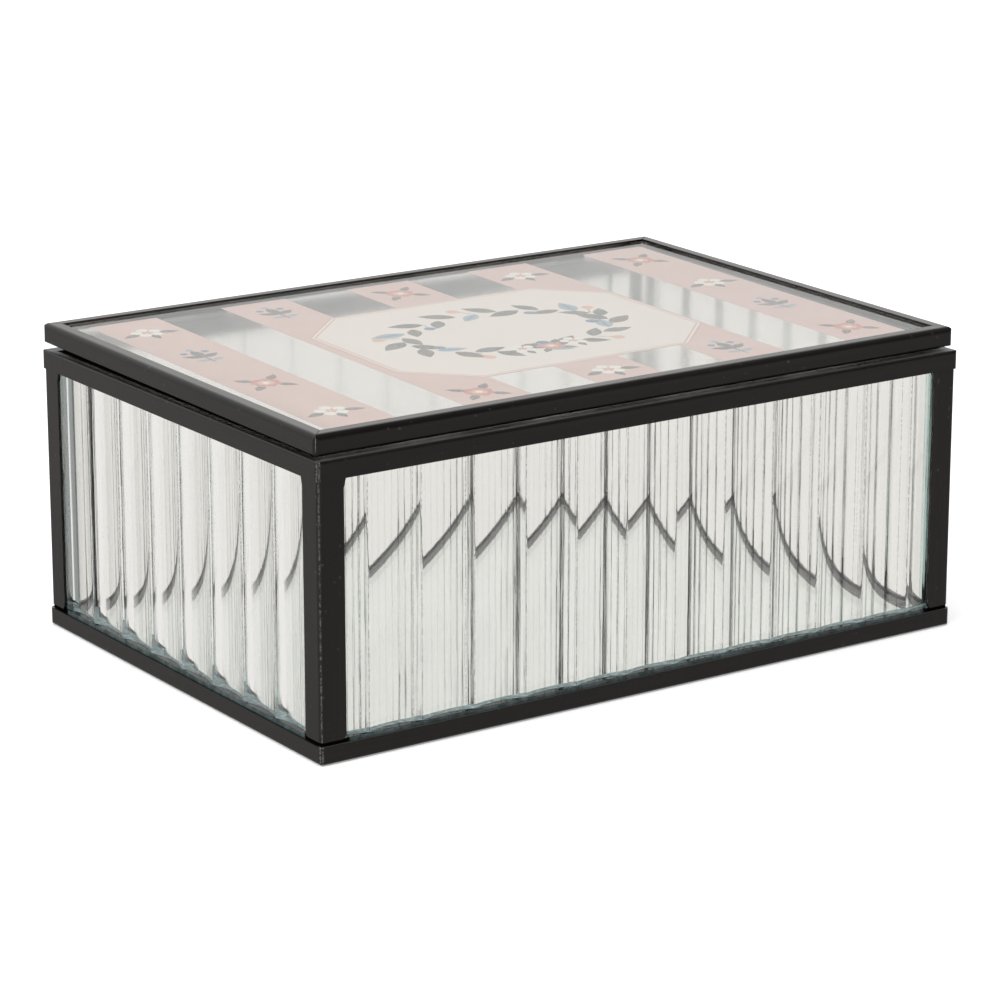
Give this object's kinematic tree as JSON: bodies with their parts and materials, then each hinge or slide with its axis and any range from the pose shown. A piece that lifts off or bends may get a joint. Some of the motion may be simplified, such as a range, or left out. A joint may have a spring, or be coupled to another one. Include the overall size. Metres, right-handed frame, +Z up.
{
  "type": "glass casket box",
  "caption": "Rectangular keepsake casket with fluted glass walls in a black sheet metal frame, a mirror base and a hinged, glazed lid.",
  "frame": {"origin": "on the resting plane, under the middle of the casket's outline", "axes": "+X along the long side, +Y towards the hinges at the back, +Z up"},
  "size_m": [0.16, 0.111, 0.0667],
  "materials": {
    "black_paint": "hand-brushed satin black over folded sheet, worn thin on the folds",
    "fluted_glass": "rolled clear glass, wide hollow flutes outside, flat inside",
    "clear_glass": "clear float glass, screen printed on its underside",
    "printed_colour": "screen printed colour seen through glass",
    "mirror_plate": "silvered glass with a grey painted back",
    "pin_steel": "plain drawn wire"
  },
  "bodies": {
    "casket": {"base_rail_front": "black_paint", "base_rail_right": "black_paint", "base_rail_back": "black_paint", "base_rail_left": "black_paint", "base_mirror": "mirror_plate", "corner_post_front_left": "black_paint", "corner_post_front_right": "black_paint", "corner_post_back_right": "black_paint", "corner_post_back_left": "black_paint", "rim_rail_front": "black_paint", "rim_rail_right": "black_paint", "rim_rail_back": "black_paint", "rim_rail_left": "black_paint", "pane_front": "fluted_glass", "pane_right": "fluted_glass", "pane_back": "fluted_glass", "pane_left": "fluted_glass", "hinge_left_rim_knuckles": "black_paint", "hinge_left_pin": "pin_steel", "hinge_right_rim_knuckles": "black_paint", "hinge_right_pin": "pin_steel"},
    "lid": {"lid_rail_front": "black_paint", "lid_rail_right": "black_paint", "lid_rail_back": "black_paint", "lid_rail_left": "black_paint", "lid_glass": "clear_glass", "hinge_left_lid_knuckle": "black_paint", "hinge_right_lid_knuckle": "black_paint"}
  },
  "joints": [
    {"name": "lid_hinge", "type": "hinge", "parent": "casket", "child": "lid", "pos_m": [0, 0.0546, 0.06175], "axis": [-1, 0, 0], "range_deg": [0, 100]}
  ]
}
